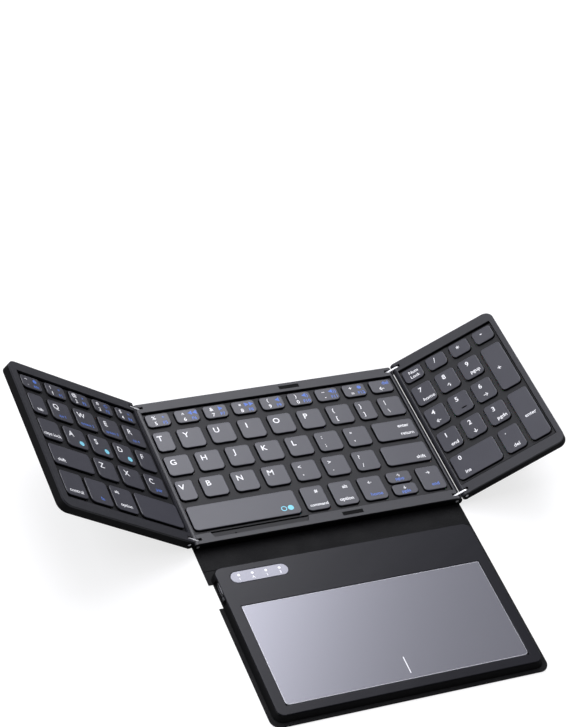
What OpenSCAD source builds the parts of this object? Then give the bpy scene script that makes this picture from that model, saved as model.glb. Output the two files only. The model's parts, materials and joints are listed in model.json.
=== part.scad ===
// Folding keyboard: a middle panel, two wings on double-pivot hinges, and a
// touchpad unit on a leather flap. X runs along the key rows, Y to the back,
// Z up. The origin is the middle of the underside of the middle panel.

/* [Panels] */
// Depth of the three keyboard panels, front to back
panel_depth = 107.9; // [106:0.1:112]
// Height of the middle panel with the leather under it
centre_thick = 6.6; // [6.5:0.1:7.2]
// Thickness of the two wings
wing_thick = 6.0; // [5.9:0.1:6.6]
// Distance between the two hinge axes in the middle panel
pin_span = 163.6; // [160:0.1:168]
// Reach of the left wing from its hinge axis to its outer edge
left_reach = 96.2; // [94:0.1:99]
// Gap between the outer edges of the two wings when both are folded in
fold_gap = 0.5; // [0.3:0.1:2]
// Radius of the outer corners of the wings
corner_r = 5.5; // [3:0.1:6]
// Angle at which the wings stand up from the middle panel
wing_angle = 32.6; // [10:0.1:60]

/* [Frames and walls] */
// Thickness of the frames round the keys
frame_t = 1.2; // [1:0.1:1.3]
// Width of the frames in front of and behind the keys
frame_w = 6.75; // [6.2:0.05:7]
// Width of the left frame along its outer edge
left_frame_w = 4.5; // [3.5:0.1:5]
// Width of the right frame along its outer edge
right_frame_w = 3.2; // [2.6:0.1:3.6]
// Width of the black channel between a frame and its key plate
channel_w = 1.1; // [0.8:0.1:1.3]
// Width of the ledge that carries a key plate
ledge_w = 0.6; // [0.4:0.1:1]
// Thickness of a circuit sheet
circuit_t = 0.6; // [0.4:0.1:0.7]
// Clearance round pieces laid into a shell
lay_clear = 0.25; // [0.1:0.05:0.4]

/* [Keys] */
// Height of a key cap
cap_h = 2.2; // [2:0.1:2.4]
// Drop of the cap tops below the frame
cap_drop = 0.1; // [0.05:0.05:0.3]
// Height by which the cap tops stand above the key plate
cap_proud = 1.3; // [1.25:0.05:1.5]
// Travel of every key
key_travel = 1.2; // [0.8:0.1:1.2]
// Thickness of a key plate
plate_t = 1.0; // [0.8:0.1:1.1]
// Clearance between a cap and the hole that it moves in
cap_clear = 0.45; // [0.1:0.05:0.6]
// Distance from the back frame to the number keys
back_margin = 2.3; // [2:0.1:3]
// Distance from the front frame to the space bar row
front_margin = 2.6; // [2.3:0.1:3.2]
// Depth of the number keys
number_d = 9.9; // [9:0.1:11]
// Depth of the space bar row
space_d = 17.7; // [17:0.1:18]
// Gap between two rows of letters
row_gap = 4.1; // [3.5:0.1:4.3]
// Gap between the number row and the first row of letters
number_gap = 4.3; // [3.8:0.1:4.4]
// Gap between the last row of letters and the space bar row
space_gap = 4.7; // [4:0.1:4.8]
// Gap between the up and down arrow keys
arrow_gap = 1.3; // [1:0.1:2]
// Corner radius at the back of a cap
cap_back_r = 2; // [0.8:0.1:2.6]
// Corner radius at the front of a cap
cap_front_r = 2.8; // [1:0.1:3.4]

/* [Hinges] */
// Gap between the round edges of two panels
hinge_gap = 0.4; // [0.3:0.05:1]
// Thickness of a hinge bar
bar_t = 1.2; // [1:0.1:1.3]
// Height of a hinge bar
bar_h = 4.8; // [4:0.1:4.8]
// Distance from a panel's end face to the middle of the hinge bar
bar_inset = 3.05; // [2.8:0.05:3.3]
// Clearance on each side of a hinge bar
bar_clear = 0.3; // [0.2:0.05:0.4]
// Diameter of a hinge pin
pin_d = 2.0; // [1.6:0.1:2.2]
// Radial clearance of a hinge pin in a panel
pin_clear = 0.05; // [0.02:0.01:0.1]

/* [Leather] */
// Thickness of the leather
leather_t = 0.8; // [0.7:0.05:0.9]
// Distance from the leather's side edges to those of the middle panel
leather_inset = 1.1; // [0.8:0.1:2]
// Width by which the leather shows round the touchpad unit
leather_margin = 2.3; // [1.5:0.1:3]
// Corner radius of the leather
leather_r = 6; // [4:0.5:8]
// Clearance between a fold line and the pieces beside it
fold_clear = 0.3; // [0.2:0.05:0.5]

/* [Touchpad unit] */
// Depth of the touchpad unit, front to back
unit_depth = 103; // [101:0.5:104]
// Height of the touchpad unit above the leather
unit_h = 4.6; // [4.5:0.1:5]
// Slope of the unit's side and front walls, bottom to top
unit_slope = 1.4; // [0.5:0.1:2]
// Corner radius of the unit
unit_r = 5.5; // [4.5:0.1:6]
// Thickness of the cover plate of the unit
cover_plate_t = 0.8; // [0.6:0.1:0.9]
// Distance from the side edges of the cover plate to the touch glass
glass_side = 6.6; // [5:0.1:12]
// Distance from the back edge of the cover plate to the touch glass
glass_back = 27.7; // [24:0.1:34]
// Distance from the front edge of the cover plate to the touch glass
glass_front = 5.9; // [4:0.1:7]
// Drop of the front edge of the touch glass when it clicks
click_travel = 0.4; // [0.2:0.05:0.4]
// Width of the indicator window
window_w = 34.5; // [30:0.5:36]
// Depth of the indicator window
window_d = 7.8; // [6:0.1:9]
// Distance from the left edge of the cover plate to the middle of the indicator window
window_side = 25; // [22:0.5:30]
// Distance from the back edge of the cover plate to the middle of the indicator window
window_back = 8.1; // [6:0.1:10]
// Travel of the power switch
switch_travel = 2.0; // [1:0.1:2.2]

/* [Hidden] */
$fn = 48;
eps = 0.01;
over = 1;                                           // how far a cut runs past a face

// Levels below the top face of a panel, the same in all three panels
cap_bottom = cap_drop + cap_h;
plate_top = cap_drop + cap_proud;
plate_bottom = plate_top + plate_t;
circuit_top = 4.6;
circuit_bottom = circuit_top + circuit_t;

// A rubber dome under every cap, and the pocket in the cap that it reaches into
dome_r = 2.4;
dome_taper = 0.6;
dome_foot = 0.2;
dome_top = plate_bottom + 0.1;
press_clear = 0.3;                                  // left over the dome when a key is down
pocket_r = dome_r + 0.5;
pocket_h = cap_bottom - dome_top + key_travel + press_clear;

// Hinge geometry, seen from the front
centre_r = centre_thick / 2;
wing_r = wing_thick / 2;
link_len = centre_r + wing_r + hinge_gap;
half_span = pin_span / 2;
half_depth = panel_depth / 2;
right_reach = pin_span - left_reach - fold_gap;
pin_r = pin_d / 2;
pin_bore = 6.6;                                     // length of a pin's bore from the end face
pin_recess = 0.15;
pin_len = pin_bore - 2 * pin_recess;
bar_y = half_depth - bar_inset;
slot_half = bar_t / 2 + bar_clear;
slot_reach = bar_h / 2 + 0.4;
slot_run = 6;                                       // the slot runs out past the panel's edge

// Key field
well_y = half_depth - frame_w;
well_x = half_span - 0.3;                           // side walls of the middle well
centre_ledge = ledge_w + 0.2;
wing_ledge = ledge_w + 0.3;
key_rows = 2 * well_y - back_margin - front_margin; // depth of the five rows
letter_d = (key_rows - number_d - number_gap - 2 * row_gap - space_gap - space_d) / 3;
number_y = well_y - back_margin;                    // back edge of each row
upper_y = number_y - number_d - number_gap;
middle_y = upper_y - letter_d - row_gap;
lower_y = middle_y - letter_d - row_gap;
space_y = lower_y - letter_d - space_gap;
arrow_d = (space_d - arrow_gap) / 2;

// Widths of the caps in every row, from left to right, for a row as long as centre_drawn
centre_drawn = 160;
centre_number_w = [for (i = [0:8]) 14.6];
centre_upper_w = [10.8, 15.2, 15.2, 15.2, 15.2, 15.2, 15.2, 11.4, 15.1];
centre_middle_w = [15.2, 15.2, 15.2, 15.2, 15.2, 15.2, 15.2, 27.0];
centre_lower_w = [10.7, 15, 15, 15, 15, 15, 15, 29.3];
centre_space_w = [66.2, 14.2, 14.5, 14.9, 15.4, 15.0];
// The rows of the wings are listed from the hinge outwards
left_drawn = 87.3;
left_space_drawn = 89.1;
left_number_w = [for (i = [0:4]) 14.4];
left_upper_w = [15.2, 15.2, 15.2, 15.2, 11.1];
left_middle_w = [13.1, 13.8, 15.2, 15.2, 14.6];
left_lower_w = [15.0, 16.4, 15.2, 30.2];
left_space_w = [33.0, 16.6, 16.2, 15.9];
right_drawn = 61.25;
right_number_w = [for (i = [0:3]) 12.7];
right_key_w = [for (i = [0:3]) 13.1];

// Where the rows start and end, from the hinge axis or the frame
centre_from = -half_span + 1.35;
centre_to = half_span - 2.25;
left_from = 3.2;
left_space_from = 1.4;
left_to = left_reach - left_frame_w - 1.2;
right_from = 1.05;
right_to = right_reach - right_frame_w - 1.4;

// Leather
leather_half = half_span + centre_r - leather_inset;
folded_top = centre_thick + hinge_gap + wing_thick;
close_gap = 0.3;                                    // between the unit and the folded wings
fold_a_y = -half_depth - fold_clear;
flap_len = folded_top + close_gap + unit_h - leather_t;
fold_b_y = fold_a_y - flap_len;
crease = 0.15;
pad_leather_back_r = 0.5;

// Touchpad unit
unit_back = fold_b_y - fold_clear;
unit_front = unit_back - unit_depth;
unit_half = leather_half - leather_margin;
leather_front = unit_front - leather_margin;
unit_top = leather_t + unit_h;
tray_top = unit_top - cover_plate_t;
tray_floor = leather_t + 0.6;
tray_wall = 1.6;
tray_half = unit_half - unit_slope - tray_wall;     // half the width of the room inside
tray_front = unit_front + unit_slope + tray_wall;
tray_back = unit_back - tray_wall;
cover_inset = 0.3;
cover_half = unit_half - unit_slope - cover_inset;
cover_back = unit_back - cover_inset;
cover_front = unit_front + unit_slope + cover_inset;
cover_r = unit_r - 1;
glass_w = 2 * (cover_half - glass_side);
glass_y0 = cover_front + glass_front;
glass_y1 = cover_back - glass_back;
glass_d = glass_y1 - glass_y0;
glass_clear = 0.2;
glass_t = 0.7;
glass_top = unit_top - 0.05;
glass_back_r = 0.6;
glass_front_r = 2.5;
sensor_t = 0.6;
sensor_inset = 1;
window_x = window_side - cover_half;
window_y = cover_back - window_back;
window_clear = 0.15;
window_stem = [24, 3];                              // light guide under the window
stem_clear = 0.2;

// Bay in the unit's left wall, with the port and the switch
bay_y0 = unit_back - 23.8;
bay_y1 = unit_back - 6.9;
bay_depth = 1.6;
leather_bay = 2.6;
bay_x = bay_depth - unit_half;
usb_w = 8.94;
usb_d = 7.35;
usb_h = min(3.2, tray_top - tray_floor);
usb_wall = 0.3;
usb_clear = 0.15;
usb_y = bay_y1 - 6;
tongue = [6.6, 0.7];
switch_y = bay_y0 + 2.2;
switch_w = 2.4;
switch_h = 1.4;
switch_z = tray_floor + 0.9;
switch_side_clear = 0.3;
switch_z_clear = 0.2;
switch_out = 0.7;
switch_in = 1.5;
port_room = 3;                                      // the holes for both run this far in

// Board and battery inside the unit
board_t = 0.8;
board_w = 46;
board_d = 30;
board_x = bay_x + tray_wall + 0.2;
chip = [7, 7, 0.9];
chip_at = [14, 10];
small_chip = [5, 5, 0.8];
small_chip_at = [27, 4];
battery_x = board_x + board_w + 12.3;
battery_w = tray_half - 14.7 - battery_x;
battery_d = 52;
battery_h = 2.0;
battery_y = glass_y1 - 6 - battery_d;

// Magnets where the folded wings meet
magnet_x = -half_span + left_reach + fold_gap / 2;
magnet_w = 13;
magnet_d = 2.6;
magnet_h = 0.8;
magnet_drop = 0.1;
magnet_y = half_depth - 3.3;

// Screws that hold the middle shell to its frame
screw_r = 0.7;
screw_clear = 0.05;
screw_head_r = 1.3;
screw_head_h = 0.7;
screw_len = centre_thick - leather_t - 0.4;
screw_slot = [1.6, 0.3, 0.3];
screw_y = half_depth - 3.4;
screw_x = [23.8 - half_span, magnet_x - magnet_w / 2 - 8.15, half_span - 23.8];

CAP = [0.40, 0.40, 0.43];
WING_CAP = [0.27, 0.27, 0.29];
PAD_CAP = [0.36, 0.36, 0.38];
FRAME = [0.30, 0.30, 0.32];
BLACK = [0.06, 0.06, 0.07];
STEEL = [0.80, 0.80, 0.82];
RUBBER = [0.75, 0.75, 0.72];
GREEN = [0.08, 0.30, 0.18];

// ---- Rows of caps ---------------------------------------------------------

function total(w, n) = n == 0 ? 0 : w[n - 1] + total(w, n - 1);
function gap_of(w, run) = (run - total(w, len(w))) / (len(w) - 1);

// A row gives each of its caps as [x0, y of the back edge, width, depth]. Its widths
// w are those of a row as long as drawn, and all follow the row's real length
function row(w, drawn, from, to, y, d) =
  let (k = (to - from) / drawn, gap = gap_of(w, drawn))
  [for (i = [0:len(w) - 1]) [from + k * (total(w, i) + i * gap), y, k * w[i], d]];
function some(list, from, to) = [for (i = [from:to]) list[i]];

centre_number = row(centre_number_w, centre_drawn, centre_from, centre_to, number_y, number_d);
centre_upper = row(centre_upper_w, centre_drawn, centre_from, centre_to, upper_y, letter_d);
centre_middle = row(centre_middle_w, centre_drawn, centre_from, centre_to, middle_y, letter_d);
centre_lower = row(centre_lower_w, centre_drawn, centre_from, centre_to, lower_y, letter_d);
centre_space = row(centre_space_w, centre_drawn, centre_from, centre_to, space_y, space_d);
arrow_x = centre_space[4][0];
arrow_w = centre_space[4][2];
up_arrow = [arrow_x, space_y, arrow_w, arrow_d];
down_arrow = [arrow_x, space_y - arrow_d - arrow_gap, arrow_w, arrow_d];
centre_caps = concat(centre_number, centre_upper, centre_middle, centre_lower,
                     some(centre_space, 0, 3), [up_arrow, down_arrow, centre_space[5]]);

left_number = row(left_number_w, left_drawn, left_from, left_to, number_y, number_d);
left_upper = row(left_upper_w, left_drawn, left_from, left_to, upper_y, letter_d);
left_middle = row(left_middle_w, left_drawn, left_from, left_to, middle_y, letter_d);
left_lower = row(left_lower_w, left_drawn, left_from, left_to, lower_y, letter_d);
left_space = row(left_space_w, left_space_drawn, left_space_from, left_to, space_y, space_d);
left_caps = concat(left_number, left_upper, left_middle, left_lower, left_space);

right_number = row(right_number_w, right_drawn, right_from, right_to, number_y, number_d);
right_upper = row(right_key_w, right_drawn, right_from, right_to, upper_y, letter_d);
right_middle = row(right_key_w, right_drawn, right_from, right_to, middle_y, letter_d);
right_lower = row(right_key_w, right_drawn, right_from, right_to, lower_y, letter_d);
right_last = row(right_key_w, right_drawn, right_from, right_to, space_y, space_d);
keypad_plus = [right_upper[3][0], upper_y, right_upper[3][2], upper_y - middle_y + letter_d];
keypad_enter = [right_lower[3][0], lower_y, right_lower[3][2], lower_y - space_y + space_d];
keypad_zero = [right_last[0][0], space_y, right_last[1][0] + right_last[1][2] - right_last[0][0], space_d];
right_caps = concat(right_number, some(right_upper, 0, 2), some(right_middle, 0, 2),
                    some(right_lower, 0, 2), [right_last[2], keypad_plus, keypad_enter, keypad_zero]);

// Thumb groove in front of the space bar
groove_x0 = centre_space[0][0] + 7.45;
groove_x1 = centre_space[0][0] + centre_space[0][2] + 2.65;
groove_d = 3.8;

// ---- Shared shapes --------------------------------------------------------

// A rectangle with round corners: back_r at the back and front_r at the front
module round_rect(x0, y0, x1, y1, back_r, front_r) {
  wide_r = max(back_r, front_r);
  translate([x0 + wide_r, y0]) square([x1 - x0 - 2 * wide_r, y1 - y0]);
  translate([x0, y0 + front_r]) square([x1 - x0, y1 - y0 - front_r - back_r]);
  for (x = [x0 + back_r, x1 - back_r]) translate([x, y1 - back_r]) circle(back_r);
  for (x = [x0 + front_r, x1 - front_r]) translate([x, y0 + front_r]) circle(front_r);
  translate([x0 + back_r, y0 + front_r]) square([x1 - x0 - 2 * back_r, y1 - y0 - front_r]);
  translate([x0 + front_r, y0]) square([x1 - x0 - 2 * front_r, y1 - y0 - back_r]);
}

module cap_outline(cap, grow) {
  round_rect(cap[0] - grow, cap[1] - cap[3] - grow, cap[0] + cap[2] + grow, cap[1] + grow,
             cap_back_r + grow, cap_front_r + grow);
}

// Caps with the pockets that their rubber domes reach into, under a panel's top face
module caps(list) {
  for (cap = list) difference() {
    translate([0, 0, -cap_bottom]) linear_extrude(cap_h) cap_outline(cap, 0);
    translate([cap[0] + cap[2] / 2, cap[1] - cap[3] / 2, -cap_bottom - eps])
      cylinder(r = pocket_r, h = pocket_h + eps);
  }
}

// A plate with a hole for every cap, from x0 to x1
module key_plate(list, x0, x1) {
  reach = well_y - channel_w;
  translate([0, 0, -plate_bottom]) linear_extrude(plate_t) difference() {
    translate([x0, -reach]) square([x1 - x0, 2 * reach]);
    for (cap = list) cap_outline(cap, cap_clear);
  }
}

module circuit(x0, x1) {
  reach = well_y - channel_w - ledge_w - lay_clear;
  translate([x0, -reach, -circuit_bottom]) cube([x1 - x0, 2 * reach, circuit_t]);
}

module rubber_domes(list, x0, x1) {
  reach = well_y - channel_w - ledge_w - lay_clear;
  translate([x0, -reach, -circuit_top]) cube([x1 - x0, 2 * reach, dome_foot]);
  for (cap = list)
    translate([cap[0] + cap[2] / 2, cap[1] - cap[3] / 2, -circuit_top])
      cylinder(r1 = dome_r, r2 = dome_r - dome_taper, h = circuit_top - dome_top);
}

// The room for the keys inside a shell: a wide well on a narrower one
module key_room(x0, x1, ledge) {
  translate([x0, -well_y, -plate_bottom]) cube([x1 - x0, 2 * well_y, plate_bottom + over]);
  reach = well_y - channel_w - ledge_w;
  translate([x0 + ledge, -reach, -circuit_bottom])
    cube([x1 - x0 - 2 * ledge, 2 * reach, circuit_bottom]);
}

// Slots for the hinge bars and bores for the pins, round an axis at x, z.
// side is 1 where the panel's edge looks along +X
module hinge_cuts(x, z, side) {
  for (end = [-1, 1]) {
    from = side > 0 ? x - slot_reach : x - slot_run;
    translate([from, end * bar_y - slot_half, z - slot_run])
      cube([slot_reach + slot_run, 2 * slot_half, 2 * slot_run]);
    translate([x, end * (half_depth - pin_bore / 2), z]) rotate([90, 0, 0])
      cylinder(r = pin_r + pin_clear, h = pin_bore + 2 * eps, center = true);
  }
}

// All of a panel from x0 to x1 that lies above or below the foot of its frame
module frame_side(x0, x1, above, thick) {
  translate([x0, -half_depth - over, above ? -frame_t : -thick - over])
    cube([x1 - x0, panel_depth + 2 * over, above ? frame_t + over : thick + over - frame_t]);
}

// ---- Middle panel ---------------------------------------------------------

module centre_place() { translate([0, 0, centre_thick]) children(); }

module centre_form() {
  intersection() {
    union() {
      translate([-half_span, -half_depth, -centre_thick]) cube([pin_span, panel_depth, centre_thick]);
      for (side = [-1, 1]) translate([side * half_span, 0, -centre_r]) rotate([90, 0, 0])
        cylinder(r = centre_r, h = panel_depth, center = true);
    }
    translate([-half_span - centre_r - over, -half_depth, leather_t - centre_thick])
      cube([pin_span + 2 * centre_r + 2 * over, panel_depth, centre_thick - leather_t]);
  }
}

module centre_hinge_cuts() {
  hinge_cuts(half_span, -centre_r, 1);
  hinge_cuts(-half_span, -centre_r, -1);
}

module screws_at() {
  for (x = screw_x, end = [-1, 1]) translate([x, end * screw_y, leather_t - centre_thick]) children();
}

module centre_shell() {
  color(BLACK) centre_place() difference() {
    intersection() {
      centre_form();
      frame_side(-half_span - centre_thick, half_span + centre_thick, false, centre_thick);
    }
    key_room(-well_x, well_x, centre_ledge);
    translate([groove_x0, -well_y - groove_d, -plate_top])
      cube([groove_x1 - groove_x0, groove_d + over, plate_top]);
    centre_hinge_cuts();
    screws_at() {
      translate([0, 0, -eps]) cylinder(r = screw_r + screw_clear, h = centre_thick);
      translate([0, 0, -eps]) cylinder(r = screw_head_r + 2 * screw_clear, h = screw_head_h + screw_clear + eps);
    }
  }
}

module centre_frame() {
  color(FRAME) centre_place() difference() {
    intersection() {
      centre_form();
      frame_side(-half_span - centre_thick, half_span + centre_thick, true, centre_thick);
    }
    translate([-well_x, -well_y, -frame_t - over]) cube([2 * well_x, 2 * well_y, frame_t + 2 * over]);
    groove_lead = groove_d / 2;
    translate([0, 0, -frame_t - over]) linear_extrude(frame_t + 2 * over) polygon([
      [groove_x0, over - well_y], [groove_x0 + groove_lead, -well_y - groove_d],
      [groove_x1 - groove_lead, -well_y - groove_d], [groove_x1, over - well_y]]);
    centre_hinge_cuts();
    for (end = [-1, 1])
      translate([magnet_x - magnet_w / 2, end * magnet_y - magnet_d / 2, -magnet_h - magnet_drop])
        cube([magnet_w, magnet_d, magnet_h + over]);
    screws_at() cylinder(r = screw_r, h = screw_len);
  }
}

module centre_screws() {
  color(STEEL) centre_place() screws_at() difference() {
    union() {
      cylinder(r = screw_head_r, h = screw_head_h);
      cylinder(r = screw_r, h = screw_len);
    }
    for (a = [0, 90]) rotate(a)
      translate([-screw_slot[0] / 2, -screw_slot[1] / 2, -eps]) cube(screw_slot);
  }
}

module closing_magnets() {
  color(BLACK) centre_place() for (end = [-1, 1])
    translate([magnet_x - magnet_w / 2, end * magnet_y - magnet_d / 2, -magnet_h - magnet_drop])
      cube([magnet_w, magnet_d, magnet_h]);
}

module centre_key_plate() {
  color(FRAME) centre_place() key_plate(centre_caps, -well_x + lay_clear, well_x - lay_clear);
}

module centre_circuit() {
  room = well_x - centre_ledge - lay_clear;
  color(GREEN) centre_place() circuit(-room, room);
}

module centre_rubber_domes() {
  room = well_x - centre_ledge - lay_clear;
  color(RUBBER) centre_place() rubber_domes(centre_caps, -room, room);
}

module centre_keys(list) { color(CAP) centre_place() caps(list); }

// ---- Wings: x runs outwards from the hinge axis, z down from the top face --

module wing_place(side) {
  mirror([side < 0 ? 1 : 0, 0, 0])
    translate([half_span, 0, centre_r]) rotate([0, -wing_angle, 0])
      translate([link_len, 0, wing_r]) children();
}

module wing_form(reach) {
  translate([0, 0, -wing_r]) rotate([90, 0, 0]) cylinder(r = wing_r, h = panel_depth, center = true);
  translate([0, 0, -wing_thick]) linear_extrude(wing_thick) {
    translate([0, -half_depth]) square([reach - corner_r, panel_depth]);
    translate([0, corner_r - half_depth]) square([reach, panel_depth - 2 * corner_r]);
    for (end = [-1, 1]) translate([reach - corner_r, end * (half_depth - corner_r)]) circle(corner_r);
  }
}

module wing_shell(reach, side_w) {
  color(BLACK) difference() {
    intersection() {
      wing_form(reach);
      frame_side(-wing_thick, reach + over, false, wing_thick);
    }
    key_room(0, reach - side_w, wing_ledge);
    hinge_cuts(0, -wing_r, -1);
  }
}

module wing_frame(reach, side_w) {
  color(FRAME) difference() {
    intersection() {
      wing_form(reach);
      frame_side(-wing_thick, reach + over, true, wing_thick);
    }
    translate([0, -well_y, -frame_t - over]) cube([reach - side_w, 2 * well_y, frame_t + 2 * over]);
    hinge_cuts(0, -wing_r, -1);
  }
}

module wing_key_plate(list, reach, side_w) {
  color(FRAME) key_plate(list, lay_clear, reach - side_w - lay_clear);
}

module wing_circuit(reach, side_w) {
  edge = wing_ledge + lay_clear;
  color(GREEN) circuit(edge, reach - side_w - edge);
}

module wing_domes(list, reach, side_w) {
  edge = wing_ledge + lay_clear;
  color(RUBBER) rubber_domes(list, edge, reach - side_w - edge);
}

module left_shell() { wing_place(-1) wing_shell(left_reach, left_frame_w); }
module left_frame() { wing_place(-1) wing_frame(left_reach, left_frame_w); }
module left_key_plate() { wing_place(-1) wing_key_plate(left_caps, left_reach, left_frame_w); }
module left_circuit() { wing_place(-1) wing_circuit(left_reach, left_frame_w); }
module left_rubber_domes() { wing_place(-1) wing_domes(left_caps, left_reach, left_frame_w); }
module left_keys(list) { color(WING_CAP) wing_place(-1) caps(list); }

module right_shell() { wing_place(1) wing_shell(right_reach, right_frame_w); }
module right_frame() { wing_place(1) wing_frame(right_reach, right_frame_w); }
module right_key_plate() { wing_place(1) wing_key_plate(right_caps, right_reach, right_frame_w); }
module right_circuit() { wing_place(1) wing_circuit(right_reach, right_frame_w); }
module right_rubber_domes() { wing_place(1) wing_domes(right_caps, right_reach, right_frame_w); }
module right_keys(list) { color(PAD_CAP) wing_place(1) caps(list); }

// ---- Hinge bars and pins, x outwards from the middle panel's pin ----------

module link_place(side) {
  mirror([side < 0 ? 1 : 0, 0, 0])
    translate([half_span, 0, centre_r]) rotate([0, -wing_angle, 0]) children();
}

module hinge_bars() {
  color(STEEL) for (end = [-1, 1]) translate([0, end * bar_y, 0]) rotate([90, 0, 0]) difference() {
    translate([0, 0, -bar_t / 2]) linear_extrude(bar_t) {
      for (x = [0, link_len]) translate([x, 0]) circle(bar_h / 2);
      translate([0, -bar_h / 2]) square([link_len, bar_h]);
    }
    for (x = [0, link_len]) translate([x, 0, 0]) cylinder(r = pin_r, h = 2 * bar_t, center = true);
  }
}

module hinge_pins() {
  color(STEEL) for (end = [-1, 1], x = [0, link_len])
    translate([x, end * (half_depth - pin_bore / 2), 0]) rotate([90, 0, 0])
      cylinder(r = pin_r, h = pin_len, center = true);
}

module left_hinge_bars() { link_place(-1) hinge_bars(); }
module left_hinge_pins() { link_place(-1) hinge_pins(); }
module right_hinge_bars() { link_place(1) hinge_bars(); }
module right_hinge_pins() { link_place(1) hinge_pins(); }

// ---- Leather --------------------------------------------------------------

module centre_leather() {
  color(BLACK) translate([-leather_half, -half_depth, 0]) cube([2 * leather_half, panel_depth, leather_t]);
}

module leather_flap() {
  color(BLACK) translate([-leather_half, fold_b_y + crease, 0])
    cube([2 * leather_half, flap_len - 2 * crease, leather_t]);
}

module pad_leather() {
  color(BLACK) linear_extrude(leather_t) difference() {
    round_rect(-leather_half, leather_front, leather_half, fold_b_y - crease,
               pad_leather_back_r, leather_r);
    translate([-leather_half - over, bay_y0]) square([leather_bay + over, bay_y1 - bay_y0]);
  }
}

// ---- Touchpad unit --------------------------------------------------------

module pad_tray() {
  color(BLACK) difference() {
    hull() {
      translate([0, 0, leather_t]) linear_extrude(eps)
        round_rect(-unit_half, unit_front, unit_half, unit_back, unit_r, unit_r, $fn = 32);
      translate([0, 0, tray_top - eps]) linear_extrude(eps)
        round_rect(unit_slope - unit_half, unit_front + unit_slope, unit_half - unit_slope, unit_back,
                   cover_r, cover_r, $fn = 32);
    }
    translate([-tray_half, tray_front, tray_floor])
      cube([2 * tray_half, tray_back - tray_front, tray_top]);
    translate([-unit_half - over, bay_y0, 0]) cube([bay_depth + over, bay_y1 - bay_y0, unit_top]);
    translate([bay_x - over, usb_y - usb_w / 2 - usb_clear, tray_floor])
      cube([tray_wall + port_room, usb_w + 2 * usb_clear, tray_top]);
    translate([bay_x - over, switch_y - switch_w / 2 - switch_side_clear, switch_z - switch_z_clear])
      cube([tray_wall + port_room, switch_w + switch_travel + 2 * switch_side_clear,
            switch_h + 2 * switch_z_clear]);
  }
}

module pad_cover_plate() {
  color(BLACK) translate([0, 0, tray_top]) linear_extrude(cover_plate_t) difference() {
    round_rect(-cover_half, cover_front, cover_half, cover_back, cover_r, cover_r);
    translate([-glass_w / 2 - glass_clear, glass_y0 - glass_clear])
      square([glass_w + 2 * glass_clear, glass_d + 2 * glass_clear]);
    indicator_outline(window_clear);
  }
}

module indicator_outline(grow) {
  round_rect(window_x - window_w / 2 - grow, window_y - window_d / 2 - grow,
             window_x + window_w / 2 + grow, window_y + window_d / 2 + grow,
             window_d / 2 + grow - eps, window_d / 2 + grow - eps);
}

// The window's light guide, drawn grow wider all round for the room that it needs
module light_guide(grow, h) {
  translate([window_x - window_stem[0] / 2 - grow, window_y - window_stem[1] / 2 - grow, tray_floor])
    cube([window_stem[0] + 2 * grow, window_stem[1] + 2 * grow, h]);
}

module indicator_window() {
  color(STEEL) {
    translate([0, 0, tray_top]) linear_extrude(cover_plate_t) indicator_outline(0);
    light_guide(0, tray_top + cover_plate_t / 2 - tray_floor);
  }
}

module touch_glass() {
  color([0.5, 0.5, 0.52]) translate([0, 0, glass_top - glass_t]) linear_extrude(glass_t)
    round_rect(-glass_w / 2, glass_y0, glass_w / 2, glass_y1, glass_back_r, glass_front_r);
}

module touch_sensor() {
  color(GREEN) translate([sensor_inset - glass_w / 2, glass_y0 + sensor_inset, glass_top - glass_t - sensor_t])
    cube([glass_w - 2 * sensor_inset, glass_d - 2 * sensor_inset, sensor_t]);
}

module control_board() {
  board_y = bay_y1 - board_d;
  color(GREEN) difference() {
    union() {
      translate([board_x, board_y, tray_floor]) cube([board_w, board_d, board_t]);
      translate([board_x + chip_at[0], board_y + chip_at[1], tray_floor])
        cube([chip[0], chip[1], board_t + chip[2]]);
      translate([board_x + small_chip_at[0], board_y + small_chip_at[1], tray_floor])
        cube([small_chip[0], small_chip[1], board_t + small_chip[2]]);
    }
    translate([board_x - over, usb_y - usb_w / 2 - stem_clear, 0])
      cube([usb_d + over, usb_w + 2 * stem_clear, tray_top]);
    translate([0, 0, -over]) light_guide(stem_clear, tray_top);
  }
}

module battery() {
  color([0.7, 0.7, 0.72]) translate([battery_x, battery_y, tray_floor])
    cube([battery_w, battery_d, battery_h]);
}

module usb_port() {
  color(STEEL) translate([bay_x, usb_y, tray_floor + usb_h / 2]) rotate([90, 0, 90]) {
    difference() {
      linear_extrude(usb_d) usb_outline(0);
      translate([0, 0, -eps]) linear_extrude(usb_d - over) usb_outline(usb_wall);
    }
    translate([-tongue[0] / 2, -tongue[1] / 2, 2 * usb_wall]) cube([tongue[0], tongue[1], usb_d - over]);
  }
}

module usb_outline(wall) {
  r = usb_h / 2 - wall;
  reach = usb_w / 2 - usb_h / 2;
  for (side = [-1, 1]) translate([side * reach, 0]) circle(r);
  square([2 * reach, 2 * r], center = true);
}

// The switch lies at the back of its slot and slides to the front of it
module power_switch() {
  color(STEEL) translate([bay_x - switch_out, switch_y - switch_w / 2 + switch_travel, switch_z])
    cube([switch_out + tray_wall + switch_in, switch_w, switch_h]);
}

// ---- All the pieces -------------------------------------------------------

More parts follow.
